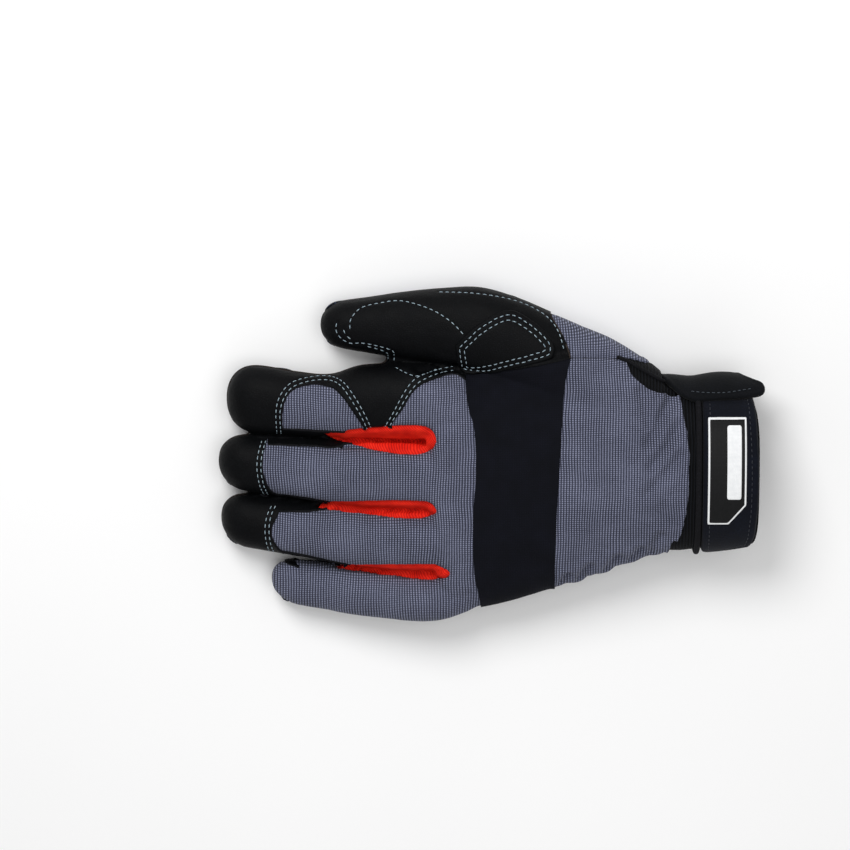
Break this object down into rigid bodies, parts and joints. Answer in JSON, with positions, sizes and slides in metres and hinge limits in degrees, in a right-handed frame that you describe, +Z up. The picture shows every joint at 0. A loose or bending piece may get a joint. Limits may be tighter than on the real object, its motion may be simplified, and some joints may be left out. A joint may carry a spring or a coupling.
{
  "type": "mechanic glove",
  "caption": "Left-hand work glove lying palm down: hollow shell of sewn back, palm and finger panels with an open cuff, wrist strap and closure flap.",
  "frame": {"origin": "on the surface the glove lies on, at the flat underside of the palm patch, under the middle of the knuckle line", "axes": "+Z up from that surface, the back of the hand on top; the fingers point along -X and the cuff's mouth opens towards +X; the thumb is on the +Y side"},
  "size_m": [0.2522, 0.1583, 0.0489],
  "materials": {
    "grey_knit": "ribbed knit",
    "black_leather": "fine-grained synthetic leather",
    "navy_band": "smooth moulded band",
    "navy_mesh": "textured weave",
    "orange_stretch": "ribbed stretch cloth",
    "black_elastic": "ribbed elastic",
    "navy_strap": "brushed loop cloth",
    "label_print": "printed label"
  },
  "bodies": {
    "root": {"palm_leather": "black_leather", "index_front_leather": "black_leather", "middle_front_leather": "black_leather", "ring_front_leather": "black_leather", "pinky_front_leather": "black_leather", "thumb_leather": "black_leather", "index_back_leather": "black_leather", "middle_back_leather": "black_leather", "ring_back_leather": "black_leather", "knuckle_knit": "grey_knit", "index_back_knit": "grey_knit", "middle_back_knit": "grey_knit", "ring_back_knit": "grey_knit", "pinky_back_knit": "grey_knit", "wrist_back_knit": "grey_knit", "thumb_side_knit": "grey_knit", "knuckle_band": "navy_band", "fourchette_index_middle": "orange_stretch", "fourchette_middle_ring": "orange_stretch", "fourchette_ring_pinky": "orange_stretch", "cuff_band": "black_elastic", "slit_gore": "black_elastic", "palm_patch": "navy_mesh", "heel_patch": "navy_mesh", "thumb_tip_patch": "navy_mesh", "index_tip_patch": "navy_mesh", "middle_tip_patch": "navy_mesh", "ring_tip_patch": "navy_mesh", "pinky_tip_patch": "navy_mesh", "thumb_web_patch": "black_leather", "wrist_strap": "navy_strap", "strap_label": "label_print", "closure_flap": "navy_strap"}
  },
  "joints": []
}
